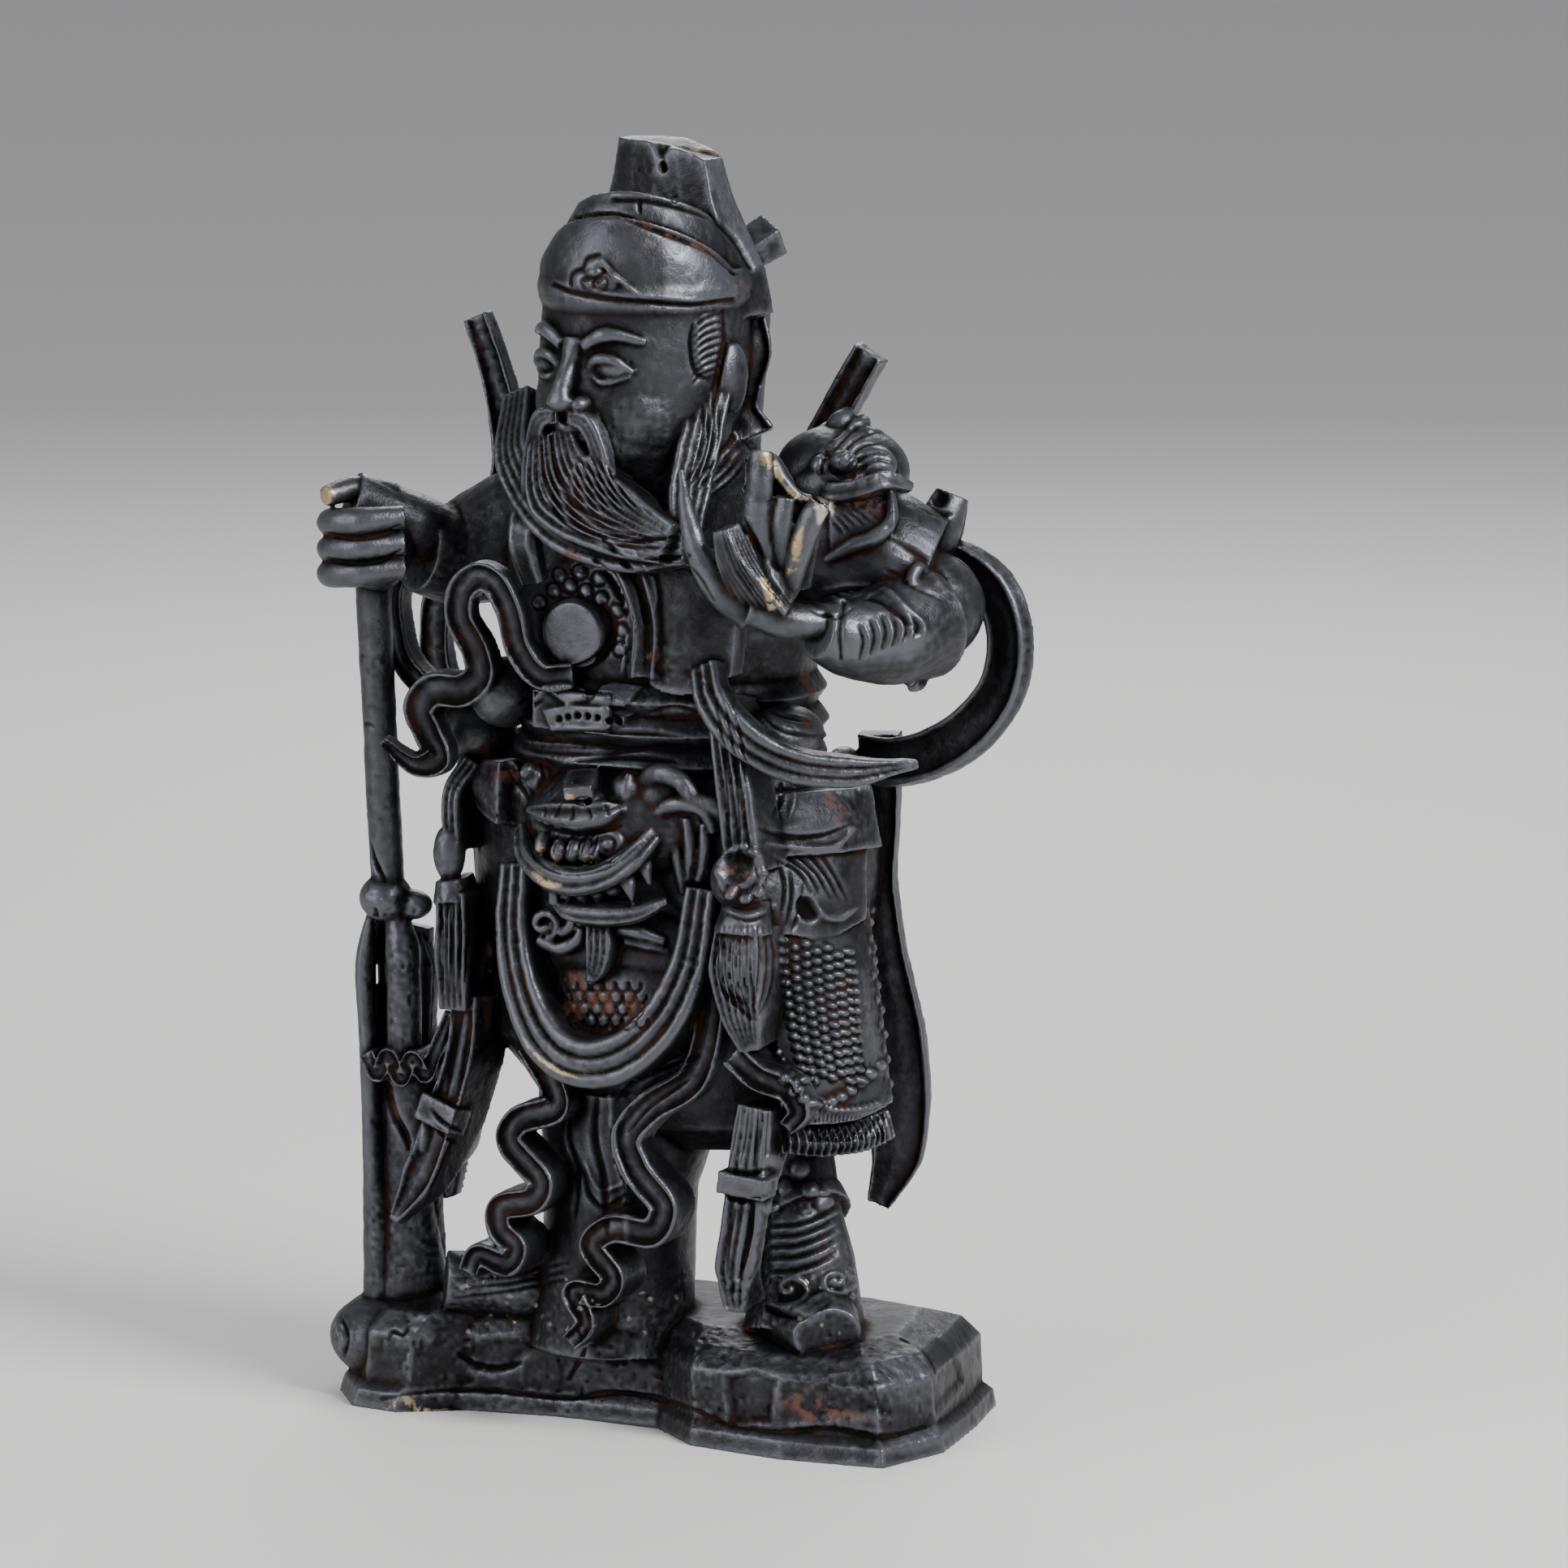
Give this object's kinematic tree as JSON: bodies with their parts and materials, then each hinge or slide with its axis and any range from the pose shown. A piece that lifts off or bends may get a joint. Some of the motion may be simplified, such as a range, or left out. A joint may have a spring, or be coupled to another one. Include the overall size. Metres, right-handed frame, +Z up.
{
  "type": "bronze warrior figure",
  "caption": "Standing warrior in armour and looped scarf, staff in one fist and the other hand raised, on a low rock plinth, cast in dark bronze.",
  "frame": {"origin": "on the standing plane, under the middle of the bounding box", "axes": "+Z up, the figure's body faces -Y, its left hand is on the +X side"},
  "size_m": [0.1238, 0.0654, 0.2196],
  "materials": {
    "bronze": "cast bronze with a dark brown-black patina, satin on worn surfaces, brassy on the most rubbed tips, red-brown earth in the hollows"
  },
  "bodies": {
    "root": {"warrior_figure": "bronze"}
  },
  "joints": []
}
